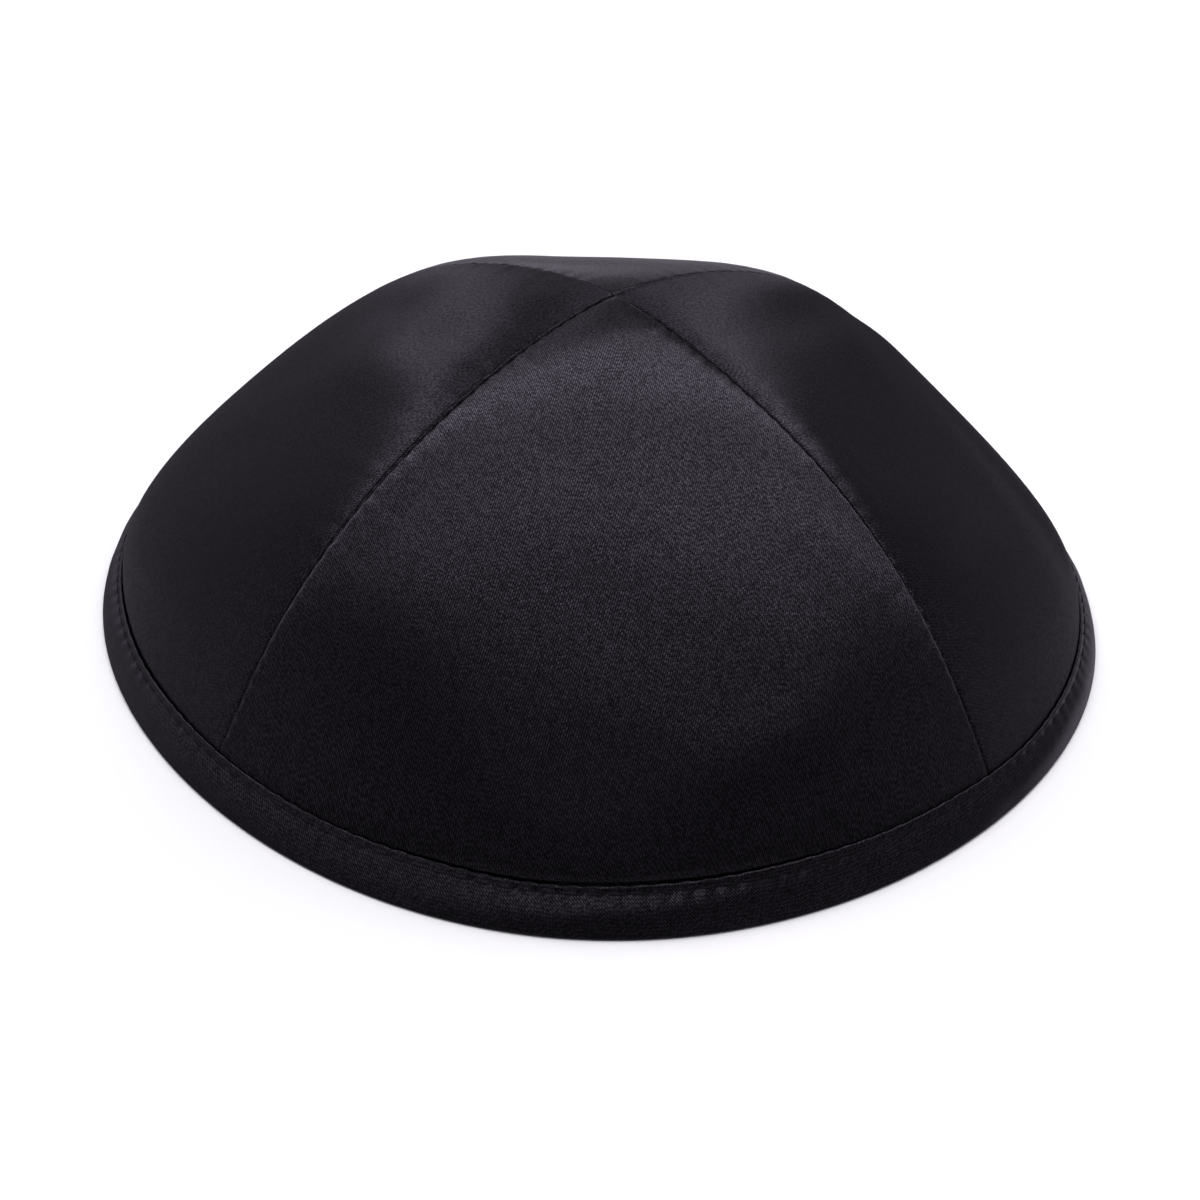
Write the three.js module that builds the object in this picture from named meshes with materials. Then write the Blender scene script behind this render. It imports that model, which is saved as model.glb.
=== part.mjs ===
// A four-panel satin kippah, standing on its rim as it does on a table.
// Millimetres, +Z up. The front panel faces -Y and the origin is the middle of the base.
import * as THREE from "three";
import { mergeVertices } from "three/addons/utils/BufferGeometryUtils.js";

// Driving dimensions
const RIM_RADIUS = 83; // mean radius of the outside of the rim band, where it rests
const CROWN_HEIGHT = 52.2; // top of the cloth where the four panels meet
const CLOTH_WALL = 1.2; // satin and its backing, sewn as one wall
const CLEARANCE = 0.3; // kept between neighbouring pieces
const BAND_WALL = 1.0; // one leg of the folded rim band
const BAND_HEIGHT = 5.8; // mean height of the rim band's top edge
const BAND_HEIGHT_SWING = 0.6; // the top edge is this much higher in front and lower behind
const BAND_LEAN = 3.3; // the top edge lies this far inside the foot
const BAND_SWELL = 0.8; // the band's face bulges this much at its fullest
const FULLEST_SHARE = 0.45; // the fullest height, as a share of the band's height
const FOOT_SWELL = 0.6; // the face already stands out this much just above the foot
const FOOT_ROUNDING = 0.7; // rounding between the band's faces and the flat it rests on
const EDGE_ROUNDING = 0.4; // rounding along the band's upper edges
const SWELL_REACH = 0.6; // a full panel moves outward by this share of its fullness
const SWELL_LIFT = 0.8; // and upward by this share

// Mesh steps
const ROWS_DOWN_PANEL = 16;
const COLUMNS_ACROSS_PANEL = 16;
const STEPS_ROUND_BAND = 112;

// Each panel, its turn about the axis in degrees, and how full its middle is sewn
const PANELS = [
  { name: "panel_front", turn: 0, fullness: 0 },
  { name: "panel_right", turn: 90, fullness: -1.0 },
  { name: "panel_back", turn: 180, fullness: 0 },
  { name: "panel_left", turn: 270, fullness: 1.9 },
];
const HALF_PANEL = Math.PI / PANELS.length;

// Control points of a seam and of a panel's middle, from the crown to the rim band
const SEAM_CURVE = [
  { reach: 0, level: CROWN_HEIGHT },
  { reach: 24.2, level: CROWN_HEIGHT - 0.2 },
  { reach: 52.9, level: 38.9 },
  { reach: 63.0, level: 30.7 },
];
const MIDDLE_CURVE = [
  { reach: 0, level: CROWN_HEIGHT },
  { reach: 32.9, level: CROWN_HEIGHT + 0.4 },
  { reach: 40.7, level: 27.9 },
  { reach: 82.0, level: 13.3 },
];

// How far the soft rim is out of round: waves round the rim, their size in millimetres
const RIM_WAVES = [
  { lobes: 2, cosine: 0.9, sine: -0.1 },
  { lobes: 3, cosine: -0.95, sine: 0.3 },
  { lobes: 4, cosine: 1.0, sine: -0.4 },
];

const BAND_COLOUR = 0x17161b;
const BAND_ROUGHNESS = 0.4;
const PANEL_COLOUR = 0x131217;
const PANEL_ROUGHNESS = 0.45;

// Triangles below this area, and distances between corners below this, count as none
const NO_AREA = 1e-9;
const NO_DISTANCE = 1e-5;

// The panels move apart from the axis by this much, which opens the seams by CLEARANCE
const PANEL_SHIFT = CLEARANCE / 2 / Math.sin(HALF_PANEL);

// The band leans, so a thickness measured square to its face is wider along the radius
const LEAN_ANGLE = Math.atan2(BAND_LEAN, BAND_HEIGHT);
const acrossLean = (thickness) => thickness / Math.cos(LEAN_ANGLE);
const HEM_INSET = acrossLean(BAND_WALL + CLEARANCE) + PANEL_SHIFT;
const BAND_WIDTH = acrossLean(2 * (BAND_WALL + CLEARANCE) + CLOTH_WALL) + PANEL_SHIFT;
// The hem's cut edge is square to the cloth, so its outer corner stands higher
const HEM_FOOT = BAND_WALL + CLEARANCE + CLOTH_WALL * Math.sin(LEAN_ANGLE);

function bandTop(angle) {
  return BAND_HEIGHT + BAND_HEIGHT_SWING * Math.cos(angle);
}

// Distance of the band's outer face from the axis at a height, before the waves
function bandReach(level) {
  return RIM_RADIUS - level * Math.tan(LEAN_ANGLE);
}

// A point at an angle from the front, with the waves growing towards the rim
function place(reach, level, angle) {
  let wave = 0;
  for (const { lobes, cosine, sine } of RIM_WAVES) {
    wave += cosine * Math.cos(lobes * angle) + sine * Math.sin(lobes * angle);
  }
  const waved = reach * (1 + (wave / RIM_RADIUS) * (reach / RIM_RADIUS) ** 2);
  return new THREE.Vector3(waved * Math.sin(angle), -waved * Math.cos(angle), level);
}

// The point of a Bezier curve, found by halving its control polygon again and again
function alongCurve(controls, t) {
  let points = controls.map(({ reach, level }) => new THREE.Vector2(reach, level));
  while (points.length > 1) {
    points = points.slice(1).map((point, i) => points[i].clone().lerp(point, t));
  }
  return points[0];
}

// The cloth's outer face above the band: t runs down from the crown, side is -1 to 1 across
function domePoint(t, side, angle, fullness) {
  const hem = { reach: bandReach(bandTop(angle)) - HEM_INSET, level: bandTop(angle) };
  const seam = alongCurve([...SEAM_CURVE, hem], t);
  const middle = alongCurve([...MIDDLE_CURVE, hem], t);
  // Nothing at the crown and the rim, and the whole fullness halfway between them
  const swell = fullness * (4 * t * (1 - t)) ** 2;
  middle.add(new THREE.Vector2(SWELL_REACH, SWELL_LIFT).multiplyScalar(swell));
  const blend = Math.cos((side * Math.PI) / 2) ** 2;
  const { x: reach, y: level } = seam.lerp(middle, blend);
  return place(reach, level, angle);
}

// Rows of points of a panel's outer face, from the crown down into the band's channel
function outerFace({ turn, fullness }) {
  const rows = [];
  for (let i = 0; i <= ROWS_DOWN_PANEL + 1; i += 1) {
    const row = [];
    for (let j = 0; j <= COLUMNS_ACROSS_PANEL; j += 1) {
      const side = (2 * j) / COLUMNS_ACROSS_PANEL - 1;
      const angle = THREE.MathUtils.degToRad(turn) + side * HALF_PANEL;
      const inHem = i > ROWS_DOWN_PANEL;
      row.push(
        inHem
          ? place(bandReach(HEM_FOOT) - HEM_INSET, HEM_FOOT, angle)
          : domePoint(i / ROWS_DOWN_PANEL, side, angle, fullness)
      );
    }
    rows.push(row);
  }
  return rows;
}

// The inner face: each point moves square to the cloth, but stays in its upright plane
function innerFace(rows) {
  const last = rows.length - 1;
  return rows.map((row, i) =>
    row.map((point, j) => {
      if (i === 0) {
        return point.clone().setZ(point.z - CLOTH_WALL);
      }
      const down = rows[Math.min(i + 1, last)][j].clone().sub(rows[i - 1][j]);
      const across = row[Math.min(j + 1, row.length - 1)].clone().sub(row[Math.max(j - 1, 0)]);
      const normal = down.cross(across).normalize();
      const outward = new THREE.Vector3(point.x, point.y, 0).normalize();
      const flat = outward.multiplyScalar(normal.dot(outward));
      const upright = new THREE.Vector3(0, 0, normal.z).add(flat);
      return point.clone().addScaledVector(upright, -CLOTH_WALL / upright.lengthSq());
    })
  );
}

// The triangles of the strip of quads between two rows of points
function quadStrip(faces, rowA, rowB) {
  for (let j = 0; j + 1 < rowA.length; j += 1) {
    faces.push([rowA[j], rowB[j], rowB[j + 1]], [rowA[j], rowB[j + 1], rowA[j + 1]]);
  }
}

// The closed body of a list of triangles, without those that have no area
function solidOf(faces) {
  const corners = [];
  for (const [a, b, c] of faces) {
    const area = b.clone().sub(a).cross(c.clone().sub(a)).length();
    if (area > NO_AREA) {
      corners.push(a, b, c);
    }
  }
  const geometry = new THREE.BufferGeometry().setFromPoints(corners);
  const merged = mergeVertices(geometry, NO_DISTANCE);
  merged.computeVertexNormals();
  return merged;
}

// One cloth panel: two faces, the two seam edges and the hem edge
function clothPanel(panel) {
  const outer = outerFace(panel);
  const inner = innerFace(outer);
  const column = (rows, j) => rows.map((row) => row[j]);
  const faces = [];
  for (let i = 0; i + 1 < outer.length; i += 1) {
    quadStrip(faces, outer[i], outer[i + 1]);
    quadStrip(faces, inner[i + 1], inner[i]);
  }
  quadStrip(faces, outer[outer.length - 1], inner[inner.length - 1]);
  quadStrip(faces, column(outer, 0), column(inner, 0));
  quadStrip(faces, column(inner, COLUMNS_ACROSS_PANEL), column(outer, COLUMNS_ACROSS_PANEL));
  const material = new THREE.MeshStandardMaterial({
    color: PANEL_COLOUR,
    roughness: PANEL_ROUGHNESS,
    metalness: 0,
    side: THREE.DoubleSide,
  });
  const mesh = new THREE.Mesh(solidOf(faces), material);
  const turn = THREE.MathUtils.degToRad(panel.turn);
  mesh.position.set(PANEL_SHIFT * Math.sin(turn), -PANEL_SHIFT * Math.cos(turn), 0);
  mesh.name = panel.name;
  return mesh;
}

// The band's closed cross-section at an angle: inset from the outer face, and level
function bandSection(angle) {
  const top = bandTop(angle);
  const legInset = acrossLean(BAND_WALL);
  const channelEnd = BAND_WIDTH - legInset;
  return [
    { inset: FOOT_ROUNDING - FOOT_SWELL, level: 0 },
    { inset: -FOOT_SWELL, level: FOOT_ROUNDING },
    { inset: -BAND_SWELL, level: top * FULLEST_SHARE },
    { inset: 0, level: top - EDGE_ROUNDING },
    { inset: EDGE_ROUNDING, level: top },
    { inset: legInset, level: top },
    { inset: legInset, level: BAND_WALL },
    { inset: channelEnd, level: BAND_WALL },
    { inset: channelEnd, level: top },
    { inset: BAND_WIDTH - EDGE_ROUNDING, level: top },
    { inset: BAND_WIDTH, level: top - EDGE_ROUNDING },
    { inset: BAND_WIDTH, level: FOOT_ROUNDING },
    { inset: BAND_WIDTH - FOOT_ROUNDING, level: 0 },
  ];
}

// The folded binding round the rim, which the panels' hems stand in
function rimBand() {
  const faces = [];
  const loopAt = (step) => {
    const angle = (2 * Math.PI * (step % STEPS_ROUND_BAND)) / STEPS_ROUND_BAND;
    const loop = bandSection(angle).map(({ inset, level }) =>
      place(bandReach(level) - inset, level, angle)
    );
    return [...loop, loop[0]];
  };
  for (let step = 0; step < STEPS_ROUND_BAND; step += 1) {
    quadStrip(faces, loopAt(step), loopAt(step + 1));
  }
  const material = new THREE.MeshStandardMaterial({
    color: BAND_COLOUR,
    roughness: BAND_ROUGHNESS,
    metalness: 0,
    side: THREE.DoubleSide,
  });
  const mesh = new THREE.Mesh(solidOf(faces), material);
  mesh.name = "rim_band";
  return mesh;
}

const kippah = new THREE.Group();
for (const panel of PANELS) {
  kippah.add(clothPanel(panel));
}
kippah.add(rimBand());

// The waves put the rim a little off the axis, so the whole is centred over the origin
const middle = new THREE.Box3().setFromObject(kippah).getCenter(new THREE.Vector3());
kippah.position.set(-middle.x, -middle.y, 0);

export default kippah;
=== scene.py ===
# The looks of a four-panel black satin kippah, standing on its rim on a pale table.
import math

import bpy
import numpy as np
from mathutils import Matrix, Vector


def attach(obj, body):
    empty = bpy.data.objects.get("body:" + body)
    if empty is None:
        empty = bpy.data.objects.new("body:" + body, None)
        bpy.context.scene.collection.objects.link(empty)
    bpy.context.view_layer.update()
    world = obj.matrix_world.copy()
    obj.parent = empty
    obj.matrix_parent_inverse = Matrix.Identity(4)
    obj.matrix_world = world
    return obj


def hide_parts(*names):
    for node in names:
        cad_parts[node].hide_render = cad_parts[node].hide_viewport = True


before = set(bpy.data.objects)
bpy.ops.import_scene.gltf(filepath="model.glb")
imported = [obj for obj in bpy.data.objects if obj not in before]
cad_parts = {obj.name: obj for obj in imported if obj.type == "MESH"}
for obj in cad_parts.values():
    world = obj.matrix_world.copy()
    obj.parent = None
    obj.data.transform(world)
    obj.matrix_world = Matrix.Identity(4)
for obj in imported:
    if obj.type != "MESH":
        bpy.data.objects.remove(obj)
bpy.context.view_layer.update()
bpy.ops.object.select_all(action="DESELECT")

# The cap's lengths are in millimetres where no comment says metres, and MM turns them into metres
MM = 0.001
MERGE_REACH = 1e-7  # in metres: vertices closer than this become one
TINY = 1e-12  # keeps a length that is divided by above 0
ANY_PHASE = 6.3  # a wave starts anywhere in its first turn, in radians
SOFT_EDGE = 50  # an edge that bends by more than this many degrees stays crisp

# The cap as the frame has it
RIM_RADIUS = 83.0  # mean radius of the outside of the rim band, where it rests
CROWN_HEIGHT = 52.2  # top of the cloth where the four panels meet
BAND_HEIGHT = 5.8  # mean height of the rim band's top edge
BAND_LEAN = 3.3  # the top edge lies this far inside the foot
LEAN = BAND_LEAN / BAND_HEIGHT
PANEL_COUNT = 4
HALF_PANEL = math.pi / PANEL_COUNT
# Control points of a seam and of a panel's middle, from the crown down: reach from the axis, and
# level. Each curve ends at the band's top edge
SEAM_CURVE = [(0, CROWN_HEIGHT), (24.2, CROWN_HEIGHT - 0.2), (52.9, 38.9), (63.0, 30.7)]
MIDDLE_CURVE = [(0, CROWN_HEIGHT), (32.9, CROWN_HEIGHT + 0.4), (40.7, 27.9), (82.0, 13.3)]
# How far the soft rim is out of round: lobes round the rim, and their cosine and sine part
RIM_WAVES = [(2, 0.9, -0.1), (3, -0.95, 0.3), (4, 1.0, -0.4)]
RIM_STEPS = 721  # points at which the rim's outline is measured
# How the band's top edge, folded and sewn by hand, rises and falls: the same three columns
BAND_EDGE_WAVES = [
    (0, -0.38, 0.0),
    (1, 0.70, -0.18),
    (2, 0.18, -0.23),
    (3, 0.03, 0.29),
    (4, -0.12, 0.03),
    (5, -0.03, 0.06),
    (6, 0.05, 0.05),
    (7, -0.11, -0.02),
    (12, -0.03, 0.05),
    (19, 0.03, 0.02),
]

# Cloth panels
PANEL_THICKNESS = 0.6
PANEL_INSET = 0.52  # the panel's face lies this far inside the band's face
HEM_DEPTH = 3.6  # how far the panel runs down behind the band's top edge
HALF_COLUMNS = 80
DOME_ROWS = 236
HEM_ROWS = 8
FINEST_STEP = 0.1  # width of the mesh strip next to a seam
MERIDIAN = 104.0  # length of a panel from the crown to the band's top edge
# How far the lowest rows of cloth lie from the band's edge, where they are closer together
RIM_ROWS = (0.0, 0.1, 0.2, 0.3, 0.4, 0.52, 0.66, 0.84, 1.05, 1.3, 1.65)
RIM_SINK = 0.05  # the cloth sinks this much where it goes in behind the band
RIM_SINK_REACH = 0.35
LEAST_WIDTH = 1e-6  # the row of points at the crown counts as this wide
# Each panel: its turn in degrees, and how much fuller its middle is sewn
PANELS = [
    ("panel_front", 0, 0.0),
    ("panel_right", 90, -1.0),
    ("panel_back", 180, 0.0),
    ("panel_left", 270, 1.9),
]
FULLER_WAY = (0.6, 0.8)  # a fuller middle stands out by this share, and up by this share
# How the cloth sinks beside a seam, or stands up where the depth is negative: the panel, its side
# (-1 at the smaller angle), depth, reach from the seam, where along the seam, and over what length
SINKS = [
    ("panel_front", -1, -0.28, 9.0, 75, 13),
    ("panel_front", 1, 0.34, 1.4, 19, 13),
    ("panel_right", -1, 0.62, 2.1, 24, 18),
    ("panel_right", -1, 0.10, 1.5, 60, 30),
    ("panel_right", 1, 0.10, 2.0, 30, 60),
    ("panel_back", -1, 0.10, 2.0, 30, 60),
    ("panel_back", 1, 0.10, 2.0, 30, 60),
    ("panel_left", -1, 0.10, 2.0, 30, 60),
    ("panel_left", 1, 0.14, 1.2, 60, 22),
    ("panel_left", 1, -0.28, 9.0, 75, 13),
]
# Soft bulges, and dents where the height is negative, as the cloth has taken them: the panel,
# height, where on the flat gore (across, along), half width and length, and turn in degrees
BULGES = [
    ("panel_front", -0.70, -29, 46, 17.9, 12.9, -46),
    ("panel_front", -0.68, -1.5, 83, 14.8, 12.2, 37),
    ("panel_front", -0.42, 28, 56, 8.4, 16.9, -43),
    ("panel_front", -0.41, 12, 37, 10.7, 8.7, -92),
    ("panel_front", 0.44, 26, 80, 6.9, 13.0, -92),
    ("panel_front", -0.97, 12, 7.5, 8.1, 11.2, 20),
    ("panel_front", -0.20, -10, 7, 4.9, 6.6, 41),
    ("panel_front", 0.42, 0, 12, 16.0, 6.0, 0),
    ("panel_right", -0.45, 28, 58, 7.9, 12.0, -90),
    ("panel_right", 0.35, 39, 66, 7.0, 12.0, -30),
    ("panel_right", -0.30, -27, 70, 5.2, 9.3, -69),
    ("panel_right", -0.57, -4, 88, 29.2, 6.5, -34),
    ("panel_right", 1.02, 2, 54, 15.3, 28.4, 6),
    ("panel_right", -0.59, 19, 40, 5.6, 29.0, -47),
    ("panel_right", -1.08, -22, 47, 10.8, 15.9, 33),
    ("panel_left", 0.77, 2, 42, 8.5, 11.6, 32),
    ("panel_left", -0.50, 24, 55, 11.4, 14.2, 3),
    ("panel_left", 0.22, -3, 66, 6.1, 12.0, 18),
    ("panel_left", -0.44, 4, 29, 7.4, 6.3, 7),
    ("panel_left", 0.49, 14, 32, 12.8, 9.0, -23),
    ("panel_left", -0.55, -15, 40, 6.2, 9.0, 29),
]
RIM_FADE = 8  # bulges and slow waves end within the last eighth of a curve, at the rim
BULGE_FADE = 8.0  # bulges end within this distance of a seam
SLOW_WAVE_HEIGHT = 0.02
SLOW_WAVE_LENGTHS = (23.0, 31.0, 44.0)
SLOW_WAVE_FADE = 12.0  # slow waves end within this distance of a seam

# Seams between the panels
SEAM_ROLL = 0.52  # the cloth turns down into the seam over this width
ROLL_CHANGE = 0.2  # the share by which the roll narrows and widens from stitch to stitch
SEAM_DEPTH = 0.48
# How deep each side of a seam rolls in, as a share of SEAM_DEPTH, at distances from the crown
SEAM_PLACES = (0, 3, 6, 12, 30, 50, 78, 104)
SEAM_SHARES = {
    ("panel_front", -1): (1.2, 1.2, 1.1, 1.0, 1.0, 0.9, 0.5, 0.3),
    ("panel_front", 1): (0.1, 0.1, 0.7, 1.1, 1.1, 0.9, 0.7, 0.5),
    ("panel_right", -1): (0.1, 0.1, 0.6, 0.8, 1.0, 0.9, 0.7, 0.5),
    ("panel_right", 1): (1.2, 0.5, 0.1, 0.1, 0.2, 0.3, 0.4, 0.4),
    ("panel_back", -1): (1.2, 0.5, 0.1, 0.1, 0.2, 0.3, 0.4, 0.4),
    ("panel_back", 1): (0.1, 0.1, 0.1, 0.1, 0.2, 0.3, 0.4, 0.4),
    ("panel_left", -1): (0.1, 0.1, 0.1, 0.1, 0.2, 0.3, 0.4, 0.4),
    ("panel_left", 1): (1.2, 1.1, 0.9, 0.8, 0.9, 1.0, 0.5, 0.3),
}
# Painted light along each fold, as the share added to the cloth's shine at the same distances:
# near the crown painted shade, where the folds lie in each other's shade, and farther down a
# painted highlight on the front panel's folds
PAINTED_FOLD_LIGHT = {
    ("panel_front", -1): (0, 0, 0, 0, 0, 0.15, 0.9, 0.5),
    ("panel_front", 1): (0, 0, 0, 0, 0, 0.3, 0.7, 0.4),
    ("panel_right", -1): (0, -0.2, -0.3, -0.35, -0.35, -0.2, 0, 0),
    ("panel_right", 1): (-0.4, -0.5, -0.5, -0.3, 0, 0, 0, 0),
    ("panel_back", -1): (-0.4, -0.5, -0.5, -0.3, 0, 0, 0, 0),
    ("panel_left", 1): (-0.2, -0.35, -0.35, -0.35, -0.35, -0.2, 0, 0),
}
PLAIN_FOLD = (0,) * len(SEAM_PLACES)
FOLD_WIDTH = 0.4  # the strip of painted fold light lies this far from the seam, and fades out as far again
LEAST_PAINTED_FOLD_LIGHT = -0.45  # no more shine than this is lost to painted shade where the folds of two seams meet
PAINTED_LIGHT_STITCH_CHANGE = 0.7  # the share by which a fold's painted highlight changes from stitch to stitch
SEAM_STITCH = 2.7  # length of one stitch of the seam
STITCH_DRIFT = 0.6  # the stitches stray by this much, in radians of a stitch's wave
DRIFT_LENGTH = 11.0
# The cloth rises in scallops between the stitches, and in puckers that reach farther out
SCALLOP_HEIGHT = 0.03
SCALLOP_REACH = 1.4
PUCKER_HEIGHT = 0.02
PUCKER_REACH = 6.0
PUCKER_LENGTHS = (4.1, 6.7, 9.3)
PUCKER_SLANT = 0.25  # the most that a pucker slants, as a share of its distance from the seam
CROWN_FADE = 12.0  # scallops and puckers grow over this length from the crown

# The flat gore
CURVE_STEPS = 401  # points at which a panel's curves are measured
LEAST_SLOPE = 0.2  # the crown counts as a cone this steep, so that its cone stays finite

# Rim band
BAND_COLUMNS = 1008
CLOTH = 0.2  # thickness of one layer of satin
FOLD_RADIUS = 0.23
FOOT_RADIUS = 0.85
BAND_WIDTH = 2.6
INNER_LEG_ROW = -2.2  # a row of cloth between the inner fold and the foot, from the top edge
INNER_FOLD_STEPS = 5
INNER_FOOT_STEPS = 4
OUTER_FOOT_STEPS = 5
FACE_STEPS = 18
OUTER_FOLD_STEPS = 7
# The face stands out above its foot by this much, more in front than at the sides: lobes round
# the rim, and their cosine and sine part
FOOT_SWELL = [(0, 0.47, 0.0), (1, 0.13, 0.06), (2, 0.11, 0.0)]
FOOT_SWELL_FADE = 0.8  # the power by which that fades towards the top edge
BAND_SWELL = 0.45  # and it keeps this much of a belly higher up
TURN_UNDER = 1.0
BAND_SEED = 7
RIPPLES_ROUND = (13, 23, 31, 47, 61)  # slow ripples of the face, as waves round the rim
RIPPLE_HEIGHTS = (0.01, 0.03)  # the least and the most

# Topstitch
STITCH_COUNT = 168
STITCH_BELOW_EDGE = 0.8
STITCH_PULLS = (0.4, 1.6)  # how hard a stitch is pulled, at least and at most
PULL_SPREAD = 3  # columns of cloth on each side over which two pulls run together
STITCH_GROOVE = 0.26
GROOVE_BELOW = 1.1  # reach of the groove below the line of stitches
GROOVE_ABOVE = 0.45
STITCH_HOLE = 0.14
HOLE_UP = 0.36
HOLE_ALONG = 0.42
STITCH_PUCKER = 0.02
STITCH_PUCKER_REACH = 1.5
STITCH_PUCKER_SLANT = 0.8
FAR_OFF = 99  # cloth that isn't on the face counts as this far from the stitches
EDGE_SCALLOP = 0.05  # the turned edge rises this much between the needle's holes
THREAD_RADIUS = 0.12
THREAD_SUNK = 0.3  # the share of its radius by which the thread lies in the groove
STITCH_SHOWN = 0.82  # the share of a stitch's pitch that shows as thread
STITCH_DIVE = 0.16  # the thread's ends go this deep into the cloth
STITCH_SIDES = 8
NEAR_BY = 0.01  # radians to each side of a stitch, for its direction

CLOTH_SPAN = 0.15  # metres of cloth that one unit of the cut map covers


def lobes(table, angle):
    """The sum of waves round the rim at each angle."""
    return sum(c * np.cos(n * angle) + s * np.sin(n * angle) for n, c, s in table)


def band_top(angle):
    """Level of the band's top edge."""
    return BAND_HEIGHT + lobes(BAND_EDGE_WAVES, angle)


def band_reach(level):
    """Distance of the band's outer face from the axis at a level, before the waves."""
    return RIM_RADIUS - level * LEAN


def place(reach, level, angle):
    """Points in metres about the axis, from reach, level and angle, with the rim's waves."""
    waved = reach * (1 + lobes(RIM_WAVES, angle) / RIM_RADIUS * (reach / RIM_RADIUS) ** 2)
    points = (waved * np.sin(angle), -waved * np.cos(angle), level + 0 * waved)
    return np.stack(points, axis=-1) * MM


def foot_middle():
    """The middle of the base, which the frame has as its origin, from the axis of the curves."""
    foot = place(RIM_RADIUS, 0.0, np.linspace(0, 2 * math.pi, RIM_STEPS))
    middle = (foot.min(axis=0) + foot.max(axis=0)) / 2
    return Vector((middle[0], middle[1], 0))


AXIS_SHIFT = -np.array(foot_middle())


def along_curve(controls, t):
    """Points of a Bezier curve at each t, as reach and level."""
    points = [np.stack(np.broadcast_arrays(r, z, t)[:2], axis=-1) for r, z in controls]
    weight = t[..., None]
    while len(points) > 1:
        points = [a + (b - a) * weight for a, b in zip(points, points[1:])]
    return points[0]


def dome(t, side, angle, fullness):
    """Reach and level of the cloth: t runs down from the crown, side is -1 to 1 across."""
    top = band_top(angle)
    hem = (band_reach(top) - PANEL_INSET, top)
    seam = along_curve([*SEAM_CURVE, hem], t)
    middle = along_curve([*MIDDLE_CURVE, hem], t)
    # The swell is 0 at the curve's two ends and the whole fullness half way
    swell = fullness * 16 * t**2 * (1 - t) ** 2
    middle = middle + swell[..., None] * np.array(FULLER_WAY)
    blend = np.cos(side * math.pi / 2) ** 2
    return seam + (middle - seam) * blend[..., None]


def new_sheet(name, columns, rows):
    """A flat grid of cloth, and the column and row of each of its vertices."""
    bpy.ops.object.select_all(action="DESELECT")
    bpy.ops.mesh.primitive_grid_add(x_subdivisions=columns, y_subdivisions=rows, size=1)
    sheet = bpy.context.object
    sheet.name = name
    sheet.data.name = name
    flat = np.empty(len(sheet.data.vertices) * 3)
    sheet.data.vertices.foreach_get("co", flat)
    flat = flat.reshape(-1, 3) + 0.5
    return sheet, np.rint(flat[:, 0] * columns).astype(int), np.rint(flat[:, 1] * rows).astype(int)


def shape_sheet(sheet, points, cut, painted_fold_light=None):
    """Moves the sheet's vertices to points, and lays its cut map, in metres of flat cloth.
    The last argument holds painted highlight and painted shade along the folds: how much more or
    less the cloth shines at each vertex."""
    mesh = sheet.data
    if painted_fold_light is not None:
        mesh.attributes.new("painted_fold_light", "FLOAT", "POINT").data.foreach_set("value", painted_fold_light)
    mesh.vertices.foreach_set("co", (points + AXIS_SHIFT).ravel())
    corner = np.empty(len(mesh.loops), dtype=int)
    mesh.loops.foreach_get("vertex_index", corner)
    cut_map = mesh.uv_layers[0]
    cut_map.name = "cut"
    cut_map.uv.foreach_set("vector", (cut[corner] / CLOTH_SPAN + 0.5).ravel())
    mesh.update()
    bpy.ops.object.mode_set(mode="EDIT")
    bpy.ops.mesh.select_all(action="SELECT")
    bpy.ops.mesh.remove_doubles(threshold=MERGE_REACH)
    bpy.ops.object.mode_set(mode="OBJECT")


def thicken(sheet, thickness):
    """Gives the sheet its wall, on the side away from its face."""
    wall = sheet.modifiers.new("wall", "SOLIDIFY")
    wall.thickness = thickness * MM
    wall.offset = -1
    wall.use_even_offset = False
    bpy.ops.object.modifier_apply(modifier=wall.name)
    bpy.ops.object.shade_smooth_by_angle(angle=math.radians(SOFT_EDGE))


def cloth_relief(seam_gap, along, name, turn):
    """Height of the cloth beside its two seams above the plain dome: the roll into the seam,
    the sinks beside it, its scallops and its puckers. seam_gap holds the distances from the
    two seams, and along the distance from the crown."""
    draw = np.random.RandomState(turn + 1)
    height = np.zeros_like(along)
    for gap, side in zip(seam_gap, (-1, 1)):
        phase = draw.uniform(0, ANY_PHASE)
        drift = STITCH_DRIFT * np.sin(along / DRIFT_LENGTH + draw.uniform(0, ANY_PHASE))
        stitch = np.sin(2 * math.pi * along / SEAM_STITCH + phase + drift)
        roll = SEAM_ROLL * (1 - ROLL_CHANGE * stitch)
        seam_depth = SEAM_DEPTH * np.interp(along, SEAM_PLACES, SEAM_SHARES[name, side])
        height -= seam_depth * np.clip(1 - gap / roll, 0, 1) ** 2
        for owner, sunk_side, depth, reach, where, length in SINKS:
            if (owner, sunk_side) == (name, side):
                near = np.exp(-((gap / reach) ** 2) - ((along - where) / length) ** 2)
                height -= depth * near
        off_crown = np.clip(along / CROWN_FADE, 0, 1)
        height += SCALLOP_HEIGHT * off_crown * np.exp(-gap / SCALLOP_REACH) * stitch
        for wavelength in PUCKER_LENGTHS:
            slant = draw.uniform(-PUCKER_SLANT, PUCKER_SLANT) * gap
            phase = draw.uniform(0, ANY_PHASE)
            pucker = np.sin(2 * math.pi * (along + slant) / wavelength + phase)
            height += PUCKER_HEIGHT * off_crown * np.exp(-gap / PUCKER_REACH) * pucker
    return height


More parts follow.
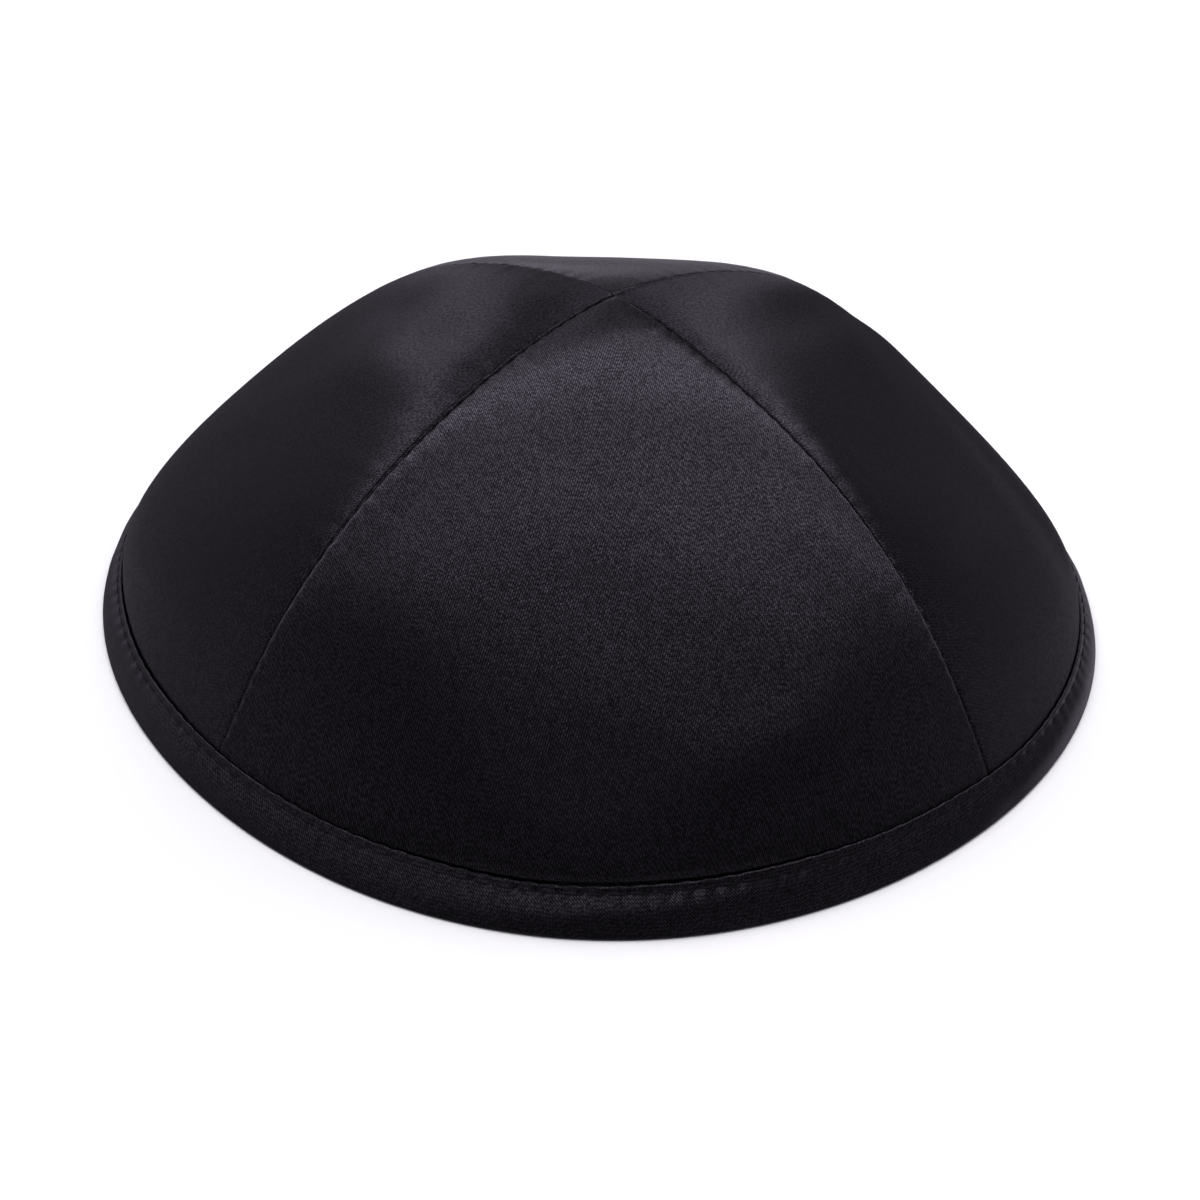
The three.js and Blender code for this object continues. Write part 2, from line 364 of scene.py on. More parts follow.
def painted_fold_light_shares(seam_gap, along, name):
    """The painted highlight and painted shade along the folds at its two seams: how much more or
    less the cloth shines there.
    """
    added = np.zeros_like(along)
    for gap, side in zip(seam_gap, (-1, 1)):
        share = np.interp(along, SEAM_PLACES, PAINTED_FOLD_LIGHT.get((name, side), PLAIN_FOLD))
        stitch = np.sin(2 * math.pi * along / SEAM_STITCH)
        near = np.exp(-(((gap - FOLD_WIDTH) / FOLD_WIDTH) ** 2))
        added += near * (share + PAINTED_LIGHT_STITCH_CHANGE * np.maximum(share, 0) * stitch)
    return np.maximum(added, LEAST_PAINTED_FOLD_LIGHT)


def bulges(name, cut):
    """Height of a panel's bulges over the points of its flat gore, in millimetres."""
    height = np.zeros(cut.shape[:-1])
    for owner, rise, across, along, width, length, turn in BULGES:
        if owner == name:
            c = math.cos(math.radians(turn))
            s = math.sin(math.radians(turn))
            x = cut[..., 1] - across
            y = cut[..., 0] - along
            over_width = (c * x + s * y) / width
            over_length = (c * y - s * x) / length
            height += rise * np.exp(-(over_width**2) - over_length**2)
    return height


def slow_waves(points, seed, height, wavelengths):
    """A few long waves over the cloth, in the plan's two directions."""
    draw = np.random.RandomState(seed)
    total = np.zeros(points.shape[:-1])
    for wavelength in wavelengths:
        heading = draw.uniform(0, math.pi)
        run = points[..., 0] * math.cos(heading) + points[..., 1] * math.sin(heading)
        phase = draw.uniform(0, ANY_PHASE)
        total += height * np.sin(2 * math.pi * run / (wavelength * MM) + phase)
    return total


def flat_cut(t, side, turn, fullness):
    """Where the points of a panel lie on its flat gore, in millimetres: along and across. Each
    row lies on the unrolled cone that touches the dome there."""
    fine = np.linspace(0, 1, CURVE_STEPS)
    middle_angle = np.full_like(fine, math.radians(turn))
    middle = dome(fine, 0 * fine, middle_angle, fullness)
    half_way = dome(fine, 0 * fine + 0.5, middle_angle, fullness)
    length = np.concatenate([[0], np.cumsum(np.linalg.norm(np.diff(middle, axis=0), axis=1))])
    run = np.gradient(half_way, axis=0)
    slope = np.clip(run[:, 0] / np.linalg.norm(run, axis=1), LEAST_SLOPE, 1)
    cosine = np.interp(t, fine, slope)
    radius = np.interp(t, fine, half_way[:, 0]) / cosine
    opening = side * HALF_PANEL * cosine
    along = np.interp(t, fine, length) - radius * (1 - np.cos(opening))
    return np.stack([along, radius * np.sin(opening)], axis=-1)


def seam_planes(turn):
    """Normals of the two upright planes that bound a panel, pointing into it."""
    low = math.radians(turn) - HALF_PANEL
    high = math.radians(turn) + HALF_PANEL
    return [
        np.array([math.cos(low), math.sin(low), 0.0]),
        np.array([-math.cos(high), -math.sin(high), 0.0]),
    ]


def trim_at_seams(sheet, turn):
    """Lays what the wall's thickness pushed past a seam back on the seam's plane."""
    mesh = sheet.data
    points = np.empty(len(mesh.vertices) * 3)
    mesh.vertices.foreach_get("co", points)
    points = points.reshape(-1, 3) - AXIS_SHIFT
    for normal in seam_planes(turn):
        past = np.minimum(points @ normal, 0)
        points -= past[:, None] * normal
    mesh.vertices.foreach_set("co", (points + AXIS_SHIFT).ravel())
    mesh.update()


def make_panel(name, turn, fullness):
    """One gore: a grid of cloth laid over the dome, finest at its two seams."""
    columns = 2 * HALF_COLUMNS
    rows = DOME_ROWS + HEM_ROWS
    sheet, column, row = new_sheet(f"{name}_cloth", columns, rows)
    # The rows lie closer together where the cloth sinks in behind the band
    close = 1 - np.array(RIM_ROWS) / MERIDIAN
    even = np.linspace(close[-1], 0, DOME_ROWS + 2 - len(close))
    t = np.concatenate([close[:-1], even])[:, None]
    seam_angle = np.full_like(t, math.radians(turn) + HALF_PANEL)
    seam_reach = dome(t, np.ones_like(t), seam_angle, 0.0)[..., 0]
    half_width = np.maximum(seam_reach * HALF_PANEL, LEAST_WIDTH)
    # The share of the half width from the seam to each column: even near the crown, finer
    # at the seam lower down
    power = np.log(np.maximum(half_width / FINEST_STEP, 1.0)) / math.log(HALF_COLUMNS)
    share = (np.arange(HALF_COLUMNS + 1) / HALF_COLUMNS) ** np.maximum(power, 1.0)
    side = np.concatenate([share - 1, (1 - share)[:, -2::-1]], axis=1)
    angle = math.radians(turn) + side * HALF_PANEL
    level_line = t + 0 * side
    profile = dome(level_line, side, angle, fullness)
    plain = place(profile[..., 0], profile[..., 1], angle)

    steps = np.linalg.norm(np.diff(plain[::-1], axis=0), axis=-1) / MM
    along = np.concatenate([np.zeros((1, columns + 1)), np.cumsum(steps, axis=0)])[::-1]
    gaps = (half_width * (1 + side), half_width * (1 - side))
    height = cloth_relief(gaps, along, name, turn)
    nearest = np.minimum(*gaps)
    rim_fade = np.clip((1 - t) * RIM_FADE, 0, 1)
    edge_fade = np.clip(nearest / SLOW_WAVE_FADE, 0, 1) * rim_fade
    height += slow_waves(plain, turn + 2, SLOW_WAVE_HEIGHT, SLOW_WAVE_LENGTHS) * edge_fade
    cut = flat_cut(level_line, side, turn, fullness)
    seam_fade = np.sin(np.clip(nearest / BULGE_FADE, 0, 1) * math.pi / 2) ** 2
    height += bulges(name, cut) * rim_fade * seam_fade
    height -= RIM_SINK * np.exp(-(((1 - t) * MERIDIAN / RIM_SINK_REACH) ** 2))

    # The relief rises square to the meridian, so each column keeps its upright plane
    nudge = 1e-3
    above = dome(np.clip(level_line - nudge, 0, 1), side, angle, fullness)
    below = dome(np.clip(level_line + nudge, 0, 1), side, angle, fullness)
    run = below - above
    run /= np.maximum(np.linalg.norm(run, axis=-1, keepdims=True), TINY)
    reach = profile[..., 0] - run[..., 1] * height
    level = profile[..., 1] + run[..., 0] * height
    cloth = place(np.maximum(reach, 0.0), level, angle)

    # The hem runs on down behind the band
    drop = np.linspace(HEM_DEPTH, 0, HEM_ROWS + 1)[:-1, None]
    hem_level = level[0] - drop
    hem_reach = reach[0] + drop * LEAN
    hem = place(hem_reach, hem_level, angle[0])
    points = np.concatenate([hem, cloth])
    hem_cut = cut[0] + drop[..., None] * np.array([1.0, 0.0])
    cut = np.concatenate([hem_cut, cut]) * MM
    # Painted highlight and painted shade along the folds, none on the hem
    painted_fold_light = np.concatenate([np.zeros(hem_cut.shape[:-1]), painted_fold_light_shares(gaps, along, name)])
    shape_sheet(sheet, points[row, column], cut[row, column], painted_fold_light[row, column])
    thicken(sheet, PANEL_THICKNESS)
    trim_at_seams(sheet, turn)
    return sheet


def arc(inset, drop, radius, start, end, steps):
    """Points on a fold, as inset from the band's face and height above the drop line."""
    turn = np.radians(np.linspace(start, end, steps + 1))
    return [(inset + radius * math.cos(a), drop + radius * math.sin(a)) for a in turn]


def band_profile():
    """The folded strip's cross-section on the hollow's side, from its turned edge to its foot.
    Each row has the inset from the outer face, a level, and 1 if the level is from the top."""
    inner = BAND_WIDTH - 2 * FOLD_RADIUS
    turned = -FOLD_RADIUS - TURN_UNDER
    rows = [(inner, turned, 1)]
    fold = arc(inner + FOLD_RADIUS, -FOLD_RADIUS, FOLD_RADIUS, 180, 0, INNER_FOLD_STEPS)
    rows += [(i, z, 1) for i, z in fold]
    rows += [(BAND_WIDTH, INNER_LEG_ROW, 1)]
    foot = arc(BAND_WIDTH - FOOT_RADIUS, FOOT_RADIUS, FOOT_RADIUS, 0, -90, INNER_FOOT_STEPS)
    rows += [(i, z, 0) for i, z in foot]
    return rows


def face_height(share, angle):
    """How the band's outer face swells between its foot, at 0, and its fold, at 1."""
    foot = lobes(FOOT_SWELL, angle) * (1 - share) ** FOOT_SWELL_FADE
    return foot + BAND_SWELL * np.sin(math.pi * share)


def make_band():
    """The binding: one strip folded over the hem, with its raw edges turned in."""
    inner_leg = band_profile()
    foot = arc(FOOT_RADIUS, FOOT_RADIUS, FOOT_RADIUS, -90, -180, OUTER_FOOT_STEPS)
    rows = len(inner_leg) + len(foot) + FACE_STEPS - 1 + OUTER_FOLD_STEPS + 1
    sheet, column, row = new_sheet("rim_band_cloth", BAND_COLUMNS, rows)
    angle = np.linspace(0, 2 * math.pi, BAND_COLUMNS + 1)
    pitch = 2 * math.pi / STITCH_COUNT
    draw = np.random.RandomState(BAND_SEED)
    # No two stitches pull alike
    pulls = draw.uniform(*STITCH_PULLS, STITCH_COUNT)
    pull = pulls[np.rint(angle / pitch).astype(int) % STITCH_COUNT]
    pull = np.concatenate([pull[-PULL_SPREAD - 1 : -1], pull, pull[1 : PULL_SPREAD + 1]])
    spread = 2 * PULL_SPREAD + 1
    pull = np.convolve(pull, np.ones(spread) / spread, "valid")
    top = band_top(angle) - EDGE_SCALLOP * pull * np.cos(angle / pitch * 2 * math.pi)
    insets = []
    levels = []
    for inset, level, from_top in inner_leg:
        insets.append(np.full_like(angle, inset))
        levels.append(level + top * from_top)
    for inset, level in foot:
        insets.append(inset - lobes(FOOT_SWELL, angle))
        levels.append(level + 0 * angle)
    face_top = top - FOLD_RADIUS
    for step in range(1, FACE_STEPS + 1):
        share = step / FACE_STEPS
        level = FOOT_RADIUS + (face_top - FOOT_RADIUS) * share
        insets.append(-face_height(share, angle))
        levels.append(level)
    fold = arc(FOLD_RADIUS, -FOLD_RADIUS, FOLD_RADIUS, 180, 0, OUTER_FOLD_STEPS)
    for inset, level in fold[1:]:
        insets.append(np.full_like(angle, inset))
        levels.append(top + level)
    insets.append(np.full_like(angle, 2 * FOLD_RADIUS))
    levels.append(top - FOLD_RADIUS - TURN_UNDER)
    insets = np.stack(insets)
    levels = np.stack(levels)

    # The topstitch pulls a groove into the face, deepest where the needle went in
    below = top - levels
    on_face = (insets < FOLD_RADIUS) & (levels > FOOT_RADIUS)
    from_line = (below - STITCH_BELOW_EDGE) * on_face + FAR_OFF * ~on_face
    from_hole = (np.mod(angle / pitch + 0.5, 1) - 0.5) * pitch * RIM_RADIUS
    shoulder = np.where(from_line > 0, GROOVE_BELOW, GROOVE_ABOVE)
    groove = STITCH_GROOVE * np.exp(-((from_line / shoulder) ** 2))
    hole = np.exp(-((from_line / HOLE_UP) ** 2) - (from_hole / HOLE_ALONG) ** 2)
    # The stitches drag the bias cloth into slanting puckers on both sides of the line
    slant = (angle * RIM_RADIUS + STITCH_PUCKER_SLANT * from_line) / (pitch * RIM_RADIUS)
    near_line = np.exp(-((from_line / STITCH_PUCKER_REACH) ** 2))
    pucker = STITCH_PUCKER * pull * near_line * np.cos(slant * 2 * math.pi)
    insets = insets + groove + STITCH_HOLE * pull * hole + pucker * on_face
    ripple = sum(
        draw.uniform(*RIPPLE_HEIGHTS) * np.sin(n * angle + draw.uniform(0, ANY_PHASE))
        for n in RIPPLES_ROUND
    )
    insets = insets + ripple * on_face * np.sin(math.pi * np.clip(levels / top, 0, 1))

    points = place(band_reach(levels) - insets, levels, angle + 0 * levels)
    steps = np.linalg.norm(np.diff(points, axis=0), axis=-1)
    width = np.concatenate([np.zeros((1, len(angle))), np.cumsum(steps, axis=0)])
    cut = np.stack([width, angle * RIM_RADIUS * MM + 0 * width], axis=-1)
    shape_sheet(sheet, points[row, column], cut[row, column])
    thicken(sheet, CLOTH)
    return sheet


def make_topstitch():
    """The thread on the band's face: one stitch, copied all the way round and joined."""
    pitch = 2 * math.pi / STITCH_COUNT
    length = pitch * RIM_RADIUS * STITCH_SHOWN
    bpy.ops.object.select_all(action="DESELECT")
    bpy.ops.mesh.primitive_uv_sphere_add(segments=STITCH_SIDES, ring_count=STITCH_SIDES, radius=1)
    first = bpy.context.object
    # The stitch lies along X, bows outwards in the middle and dives in at its ends
    for vertex in first.data.vertices:
        x, y, z = vertex.co.z, vertex.co.x, vertex.co.y
        dive = STITCH_DIVE * x**4
        vertex.co = (x * length / 2, y * THREAD_RADIUS, z * THREAD_RADIUS - dive)
    slant = math.hypot(1, LEAN)
    stitches = []
    for k in range(STITCH_COUNT):
        angle = np.array((k + 0.5) * pitch)
        level = band_top(angle) - STITCH_BELOW_EDGE
        share = (level - FOOT_RADIUS) / (band_top(angle) - FOLD_RADIUS - FOOT_RADIUS)
        inset = STITCH_GROOVE - face_height(share, angle) - THREAD_RADIUS * THREAD_SUNK
        ahead = place(band_reach(level) - inset, level, angle + NEAR_BY)
        behind = place(band_reach(level) - inset, level, angle - NEAR_BY)
        middle = place(band_reach(level) - inset, level, angle) + AXIS_SHIFT
        tangent = Vector(ahead - behind).normalized()
        outward = Vector((math.sin(angle) / slant, -math.cos(angle) / slant, LEAN / slant))
        outward = (outward - outward.dot(tangent) * tangent).normalized()
        turn = Matrix((tangent, outward.cross(tangent), outward)).transposed().to_4x4()
        stitch = first.copy()
        stitch.data = first.data.copy()
        bpy.context.collection.objects.link(stitch)
        stitch.data.transform(Matrix.Translation(middle) @ turn @ Matrix.Scale(MM, 4))
        stitches.append(stitch)
    bpy.data.objects.remove(first)
    bpy.ops.object.select_all(action="DESELECT")
    for stitch in stitches:
        stitch.select_set(True)
    bpy.context.view_layer.objects.active = stitches[0]
    bpy.ops.object.join()
    thread = bpy.context.object
    thread.name = "topstitch_thread"
    thread.data.name = "topstitch_thread"
    bpy.ops.object.shade_smooth()
    return thread


class Nodes:
    """A material's node tree, with short ways to add and join nodes."""

    def __init__(self, name):
        self.material = bpy.data.materials.new(name)
        self.material.use_nodes = True
        self.tree = self.material.node_tree
        self.shader = self.tree.nodes["Principled BSDF"]

    def add(self, kind, **settings):
        node = self.tree.nodes.new(kind)
        for key, value in settings.items():
            setattr(node, key, value)
        return node

    def set_input(self, socket, value):
        if isinstance(value, bpy.types.NodeSocket):
            self.tree.links.new(value, socket)
        else:
            socket.default_value = value

    def math(self, operation, *values):
        node = self.add("ShaderNodeMath", operation=operation)
        for socket, value in zip(node.inputs, values):
            self.set_input(socket, value)
        return node.outputs[0]

    def blend(self, factor, low, high, start=0.0, end=1.0):
        node = self.add("ShaderNodeMapRange")
        self.set_input(node.inputs["Value"], factor)
        self.set_input(node.inputs["From Min"], start)
        self.set_input(node.inputs["From Max"], end)
        self.set_input(node.inputs["To Min"], low)
        self.set_input(node.inputs["To Max"], high)
        return node.outputs["Result"]


# Satin weave
# The floats' colour, and the painted shade between them
PAINTED_SHADE_BETWEEN_FLOATS = (0.0005, 0.0005, 0.0006, 1)
FLOAT_TOP_COLOUR = (0.0030, 0.0027, 0.0034, 1)
GLOSS_TINT = (1.05, 1.0, 1.10, 1)
FLOAT_PITCH = 0.318  # from one float to the next beside it
FLOAT_LENGTH = 0.72
FLOAT_STRAY = 0.4  # the most that a line of floats is out of step, as a share of a float
FLOAT_HEIGHT = 0.012
FLOAT_END_POWER = 0.4  # keeps a float level along its middle and steep at its two ends
PATCHES_A_FLOAT = 2.0  # each half of a float has a tilt, a gloss and a shade of its own
FLOAT_TILT = 2.4  # how far the most tilted halves rise and fall, as a share of the height
FLOAT_ROUGHNESS = (0.36, 0.44)  # of the glossiest and the dullest halves
FLOAT_SHADE = (0.6, 1.4)  # how much of its light the darkest and the lightest half gives back
EVEN_SHINE = 0.47  # the share of a bare thread's shine that the weave gives back on the whole
# Seen aslant, the weave evens out: from one slant to the other, where 0 is face on and 1 is
# edge on, it goes from none of it to this share
EVEN_FROM = 0.26
EVEN_TO = 0.46
MOST_EVEN = 0.72
# Painted glints and dull spots, in the shine and the colour, grow between two slants, and
# between two heights on the cap, in metres
GLINTS_A_MILLIMETRE = 2.2
GLINT_SHARE = 0.5  # by this share a glint is brighter, and a dull spot darker
GLINT_DULL = 0.35  # where the noise is below this the spot is at its darkest
GLINT_BRIGHT = 0.65
GLINT_FROM = 0.2
GLINT_TO = 0.4
GLINT_FOOT = 0.028
GLINT_TOP = 0.044

# Sewing thread
THREAD_BLACK = (0.003, 0.003, 0.0035, 1)
THREAD_SHINE = 0.25
THREAD_GRAIN = 4000  # grains to a metre
THREAD_ROUGHNESS = (0.5, 0.8)


def satin(name, grain, thread_turn, stagger, shine):
    """Black satin: floats of thread side by side, each tilted and shining a little otherwise.
    grain is the floats' turn on the flat cloth and thread_turn the gloss's, in degrees, and
    stagger is how far each line of floats is ahead of the last, as a share of a float."""
    n = Nodes(name)
    cut = n.add("ShaderNodeUVMap", uv_map="cut")
    turned = n.add("ShaderNodeMapping")
    turned.inputs["Rotation"].default_value = (0, 0, math.radians(grain))
    turned.inputs["Scale"].default_value = (CLOTH_SPAN / MM,) * 3
    n.tree.links.new(cut.outputs[0], turned.inputs["Vector"])
    split = n.add("ShaderNodeSeparateXYZ")
    n.tree.links.new(turned.outputs[0], split.inputs[0])
    across = n.math("DIVIDE", split.outputs["Y"], FLOAT_PITCH)
    column = n.math("FLOOR", across)
    start = n.add("ShaderNodeTexWhiteNoise", noise_dimensions="1D")
    n.tree.links.new(column, start.inputs["W"])
    along = n.math("DIVIDE", split.outputs["X"], FLOAT_LENGTH)
    along = n.math("ADD", along, n.math("MULTIPLY", column, stagger))
    along = n.math("ADD", along, n.math("MULTIPLY", start.outputs["Value"], FLOAT_STRAY))
    spot = n.add("ShaderNodeCombineXYZ")
    n.tree.links.new(column, spot.inputs["X"])
    patch = n.math("FLOOR", n.math("MULTIPLY", along, PATCHES_A_FLOAT))
    n.tree.links.new(patch, spot.inputs["Y"])
    chance = n.add("ShaderNodeTexWhiteNoise", noise_dimensions="2D")
    n.tree.links.new(spot.outputs[0], chance.inputs["Vector"])
    draws = n.add("ShaderNodeSeparateColor")
    n.tree.links.new(chance.outputs["Color"], draws.inputs[0])
    tilt, gloss, shade = draws.outputs
    # A float is round across and dips under at its ends
    place_across = n.math("FRACT", across)
    place_along = n.math("FRACT", along)
    round_across = n.math("SINE", n.math("MULTIPLY", place_across, math.pi))
    round_along = n.math("SINE", n.math("MULTIPLY", place_along, math.pi))
    crown = n.math("MULTIPLY", round_across, n.math("POWER", round_along, FLOAT_END_POWER))
    lean = n.math("MULTIPLY", n.math("SUBTRACT", tilt, 0.5), FLOAT_TILT)
    lean = n.math("MULTIPLY", lean, n.math("SUBTRACT", place_along, 0.5))
    # Seen aslant, the floats hide the gaps between them and the cloth looks even
    aslant = n.add("ShaderNodeLayerWeight").outputs["Facing"]
    hidden = n.blend(aslant, 0.0, MOST_EVEN, start=EVEN_FROM, end=EVEN_TO)
    relief = n.add("ShaderNodeBump")
    n.tree.links.new(n.math("SUBTRACT", 1.0, hidden), relief.inputs["Strength"])
    relief.inputs["Distance"].default_value = FLOAT_HEIGHT * MM
    n.tree.links.new(n.math("ADD", crown, lean), relief.inputs["Height"])
    n.tree.links.new(relief.outputs[0], n.shader.inputs["Normal"])
    n.tree.links.new(n.blend(gloss, *FLOAT_ROUGHNESS), n.shader.inputs["Roughness"])
    colour_with_painted_light = n.add("ShaderNodeMix", data_type="RGBA")
    colour_with_painted_light.inputs["A"].default_value = PAINTED_SHADE_BETWEEN_FLOATS
    colour_with_painted_light.inputs["B"].default_value = FLOAT_TOP_COLOUR
    # Painted shade: the colour and the shine are darkest between the floats, where hardly any
    # light comes back
    weave = n.math("MULTIPLY", crown, n.blend(shade, *FLOAT_SHADE))
    seen = n.blend(hidden, weave, EVEN_SHINE)
    # Painted glints: towards the crown's glare, noise makes single threads' shine and colour
    # brighter or duller
    glints = n.add("ShaderNodeTexNoise")
    glints.inputs["Scale"].default_value = GLINTS_A_MILLIMETRE
    n.tree.links.new(turned.outputs[0], glints.inputs["Vector"])
    dull = 1 - GLINT_SHARE
    bright = 1 + GLINT_SHARE
    glint = n.blend(glints.outputs[0], dull, bright, start=GLINT_DULL, end=GLINT_BRIGHT)
    place_on = n.add("ShaderNodeTexCoord")
    where = n.add("ShaderNodeSeparateXYZ")
    n.tree.links.new(place_on.outputs["Object"], where.inputs[0])
    near_crown = n.blend(where.outputs["Z"], 0.0, 1.0, start=GLINT_FOOT, end=GLINT_TOP)
    slanting = n.blend(aslant, 0.0, 1.0, start=GLINT_FROM, end=GLINT_TO)
    glare = n.math("MULTIPLY", slanting, near_crown)
    seen = n.math("MULTIPLY", seen, n.blend(glare, 1.0, glint))
    n.tree.links.new(seen, colour_with_painted_light.inputs["Factor"])
    n.tree.links.new(colour_with_painted_light.outputs["Result"], n.shader.inputs["Base Color"])
    # The shine carries the painted highlight and painted shade along the folds
    painted_fold_light = n.add("ShaderNodeAttribute", attribute_name="painted_fold_light").outputs["Fac"]
    shine_with_painted_fold_light = n.math("MULTIPLY", n.math("ADD", painted_fold_light, 1.0), shine)
    seen_shine = n.math("MULTIPLY", seen, shine_with_painted_fold_light)
    n.tree.links.new(seen_shine, n.shader.inputs["Specular IOR Level"])
    n.shader.inputs["Specular Tint"].default_value = GLOSS_TINT
    n.shader.inputs["Anisotropic"].default_value = 1.0
    # The cut map's first axis is turned until it lies across the floats, which spread light so
    n.shader.inputs["Anisotropic Rotation"].default_value = thread_turn / 360
    thread_way = n.add("ShaderNodeTangent", direction_type="UV_MAP", uv_map="cut")
    n.tree.links.new(thread_way.outputs[0], n.shader.inputs["Tangent"])
    return n.material


def thread_material():
    """Twisted polyester thread, a little glossier than the cloth's ground."""
    n = Nodes("thread")
    place_on = n.add("ShaderNodeTexCoord")
    grain = n.add("ShaderNodeTexNoise")
    grain.inputs["Scale"].default_value = THREAD_GRAIN
    n.tree.links.new(place_on.outputs["Object"], grain.inputs["Vector"])
    n.tree.links.new(n.blend(grain.outputs[0], *THREAD_ROUGHNESS), n.shader.inputs["Roughness"])
    n.shader.inputs["Base Color"].default_value = THREAD_BLACK
    n.shader.inputs["Specular IOR Level"].default_value = THREAD_SHINE
    return n.material


def dress(piece, material, slot, *nodes):
    """Gives a piece its material and body, and hides the nodes it stands for. slot is not used."""
    piece.data.materials.clear()
    piece.data.materials.append(material)
    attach(piece, "root")
    if nodes:
        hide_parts(*nodes)


panel_satin = satin("panel_satin", grain=14, thread_turn=90, stagger=0.62, shine=0.92)
band_satin = satin("band_satin", grain=40, thread_turn=147, stagger=0.38, shine=0.80)
thread = thread_material()

for name, turn, fullness in PANELS:
    gore = make_panel(name, turn, fullness)
    dress(gore, panel_satin, "panel_satin", name)

band = make_band()
dress(band, band_satin, "band_satin", "rim_band")
topstitch = make_topstitch()
dress(topstitch, thread, "thread")

# A white table that runs out of sight: its size is in metres
TABLE_SIZE = 6
PAPER_WHITE = (0.9, 0.9, 0.9, 1)
PAPER_ROUGHNESS = 0.9
bpy.ops.mesh.primitive_plane_add(size=TABLE_SIZE)
table = bpy.context.object
table.name = "table"
paper = Nodes("white_paper")
paper.shader.inputs["Base Color"].default_value = PAPER_WHITE
paper.shader.inputs["Roughness"].default_value = PAPER_ROUGHNESS
table.data.materials.append(paper.material)
table.visible_glossy = False

# The photograph's camera, about the axis of the curves: angles in degrees, distances in metres,
# and the lens and its sensor in millimetres
CAMERA_ELEVATION = 37.4
CAMERA_AZIMUTH = -1.9
CAMERA_ROLL = 2.7
CAMERA_DISTANCE = 0.299
CAMERA_AIM = (-0.00002, 0, -0.0072)
CAMERA_LENS = 51.2
CAMERA_SENSOR = 36
CAMERA_NEAREST = 0.01

camera_data = bpy.data.cameras.new("camera")
camera_data.lens = CAMERA_LENS
camera_data.sensor_width = CAMERA_SENSOR
camera_data.clip_start = CAMERA_NEAREST
camera = bpy.data.objects.new("camera", camera_data)
bpy.context.collection.objects.link(camera)
tilt = math.radians(90 - CAMERA_ELEVATION)
camera.matrix_world = (
    Matrix.Translation(Vector(AXIS_SHIFT))
    @ Matrix.Rotation(math.radians(CAMERA_AZIMUTH), 4, "Z")
    @ Matrix.Translation(Vector(CAMERA_AIM))
    @ Matrix.Rotation(tilt, 4, "X")
    @ Matrix.Translation((0, 0, CAMERA_DISTANCE))
    @ Matrix.Rotation(math.radians(CAMERA_ROLL), 4, "Z")
)
bpy.context.scene.camera = camera


# Soft lights round the cap: azimuth (0 is behind it, 90 on its right), elevation, how tight
# each is, and how bright its middle is, where 1 is white paper in the photograph
SOFT_LIGHTS = [
    (14, 75, 34, 2.82),
    (108, 69, 67, 5.4),
    (308, 48, 67, 5.1),
    (38, 39, 52, 3.72),
    (347, 3, 16, 0.9),
]
# How bright the walls and the table are in the satin's gloss
ROOM_RIGHT = 0.245
ROOM_LEFT = 0.285
ROOM_TINT = (1.045, 0.97, 1.16)
TABLE_MIRRORED = 0.175
TABLE_BEHIND = 0.10  # more than that towards the back
# The table's far corners are brighter and its near ones darker: the power and strength with
# which this grows to both sides, and the least and the most that it grows from front to back
BESIDE_POWER = 4.0
TABLE_BESIDE = 1.2
NEAR_CORNERS = -0.09
FAR_CORNERS = 0.45


def aim(azimuth, elevation):
    """The direction of a light, seen from the cap."""
    a = math.radians(azimuth)
    e = math.radians(elevation)
    return Vector((math.sin(a) * math.cos(e), math.cos(a) * math.cos(e), math.sin(e)))


class Room(Nodes):
    """The world's node tree."""

    def __init__(self):
        world = bpy.data.worlds.new("studio")
        bpy.context.scene.world = world
        world.use_nodes = True
        self.tree = world.node_tree


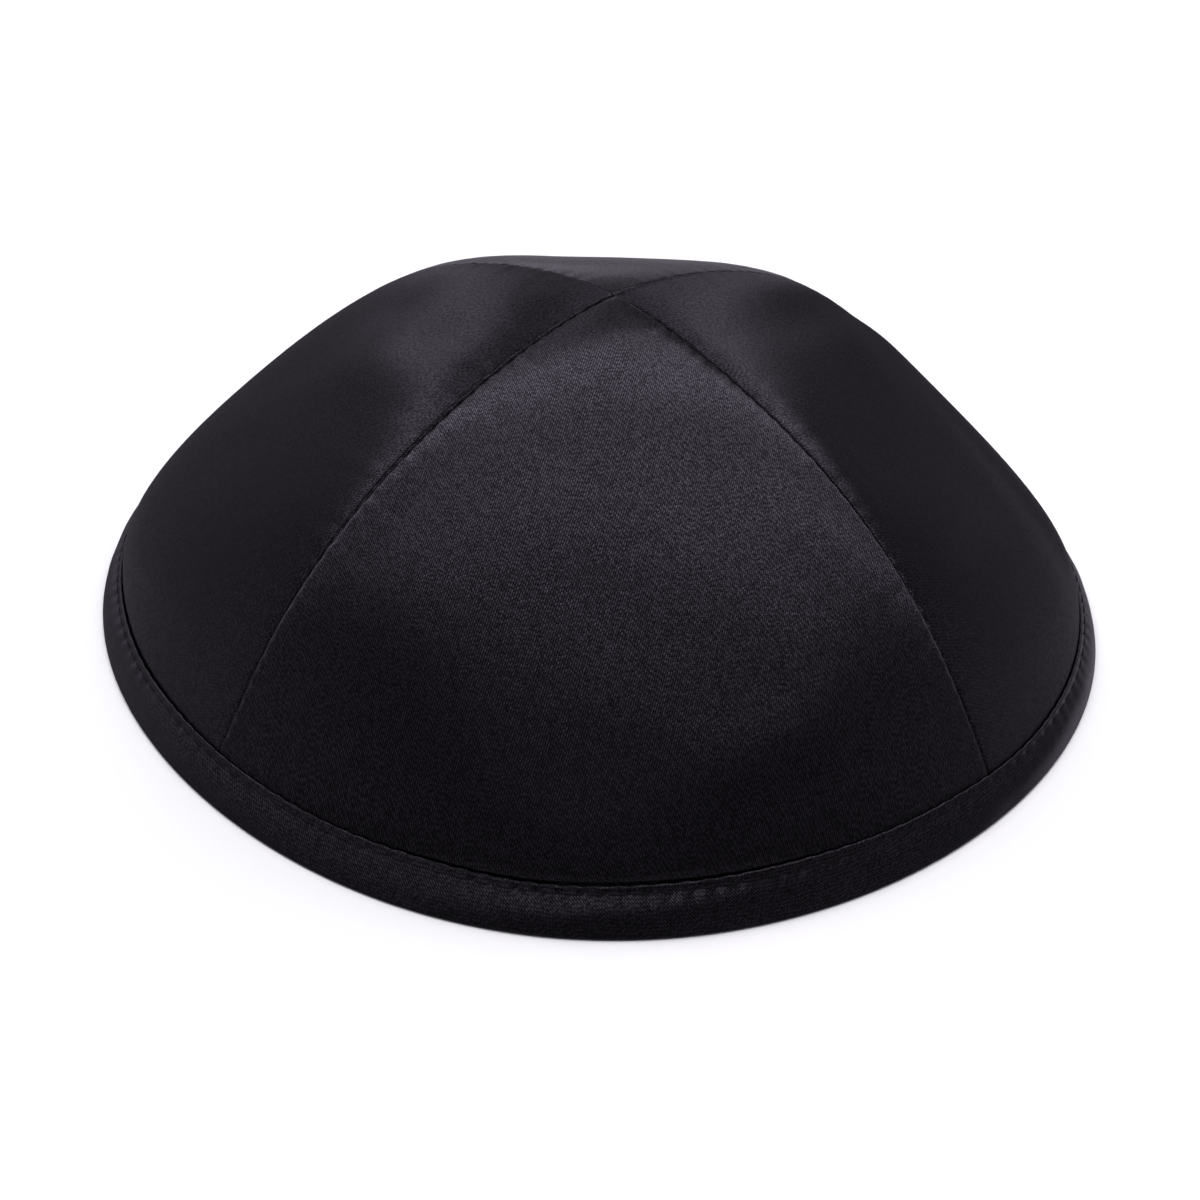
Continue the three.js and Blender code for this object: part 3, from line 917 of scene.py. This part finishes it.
def light_room():
    """Soft lights that fade at their edges, dim walls, and plain white for the camera."""
    n = Room()
    way = n.add("ShaderNodeTexCoord").outputs["Generated"]
    split = n.add("ShaderNodeSeparateXYZ")
    n.tree.links.new(way, split.inputs[0])
    x, y, z = split.outputs
    right = n.math("MULTIPLY", n.math("MAXIMUM", x, 0.0), ROOM_RIGHT)
    left = n.math("MULTIPLY", n.math("MINIMUM", x, 0.0), -ROOM_LEFT)
    seen = n.math("ADD", right, left)
    for azimuth, elevation, tightness, brightness in SOFT_LIGHTS:
        near = n.add("ShaderNodeVectorMath", operation="DOT_PRODUCT")
        n.tree.links.new(way, near.inputs[0])
        near.inputs[1].default_value = aim(azimuth, elevation)
        off = n.math("SUBTRACT", near.outputs["Value"], 1.0)
        glow = n.math("EXPONENT", n.math("MULTIPLY", off, float(tightness)))
        seen = n.math("ADD", seen, n.math("MULTIPLY", glow, brightness))
    table_seen = n.math("MULTIPLY", n.math("MAXIMUM", y, 0.0), TABLE_BEHIND)
    beside = n.math("MINIMUM", n.math("MAXIMUM", y, NEAR_CORNERS), FAR_CORNERS)
    beside = n.math("MULTIPLY", beside, n.math("POWER", n.math("ABSOLUTE", x), BESIDE_POWER))
    beside = n.math("MULTIPLY", beside, TABLE_BESIDE)
    table_seen = n.math("ADD", n.math("ADD", table_seen, beside), TABLE_MIRRORED)
    seen = n.blend(n.math("GREATER_THAN", z, 0.0), table_seen, seen)
    camera_ray = n.add("ShaderNodeLightPath").outputs["Is Camera Ray"]
    background = n.tree.nodes["Background"]
    n.tree.links.new(n.blend(camera_ray, seen, 1.0), background.inputs["Strength"])
    tint = n.add("ShaderNodeMix", data_type="RGBA")
    n.tree.links.new(camera_ray, tint.inputs["Factor"])
    tint.inputs["A"].default_value = (*ROOM_TINT, 1)
    tint.inputs["B"].default_value = (1, 1, 1, 1)
    n.tree.links.new(tint.outputs["Result"], background.inputs["Color"])


light_room()

# A white sheet overhead, in metres, lights the table alone, and only the cap's foot shades it
TENT_HEIGHT = 0.7
TENT_BEHIND = 0.19
TENT_WIDTH = 0.95
TENT_BRIGHTNESS = 1.68
TENT_TINT = (0.98, 1.03, 0.93)
tent_data = bpy.data.lights.new("tent", "AREA")
tent_data.size = TENT_WIDTH
tent_data.energy = TENT_BRIGHTNESS * math.pi * TENT_WIDTH**2
tent_data.color = TENT_TINT
tent = bpy.data.objects.new("tent", tent_data)
bpy.context.collection.objects.link(tent)
tent.location = (0, TENT_BEHIND, TENT_HEIGHT)
tent.visible_camera = False
tent_lights = bpy.data.collections.new("lit_by_tent")
tent_lights.objects.link(table)
tent.light_linking.receiver_collection = tent_lights
bpy.context.scene.view_settings.view_transform = "Standard"

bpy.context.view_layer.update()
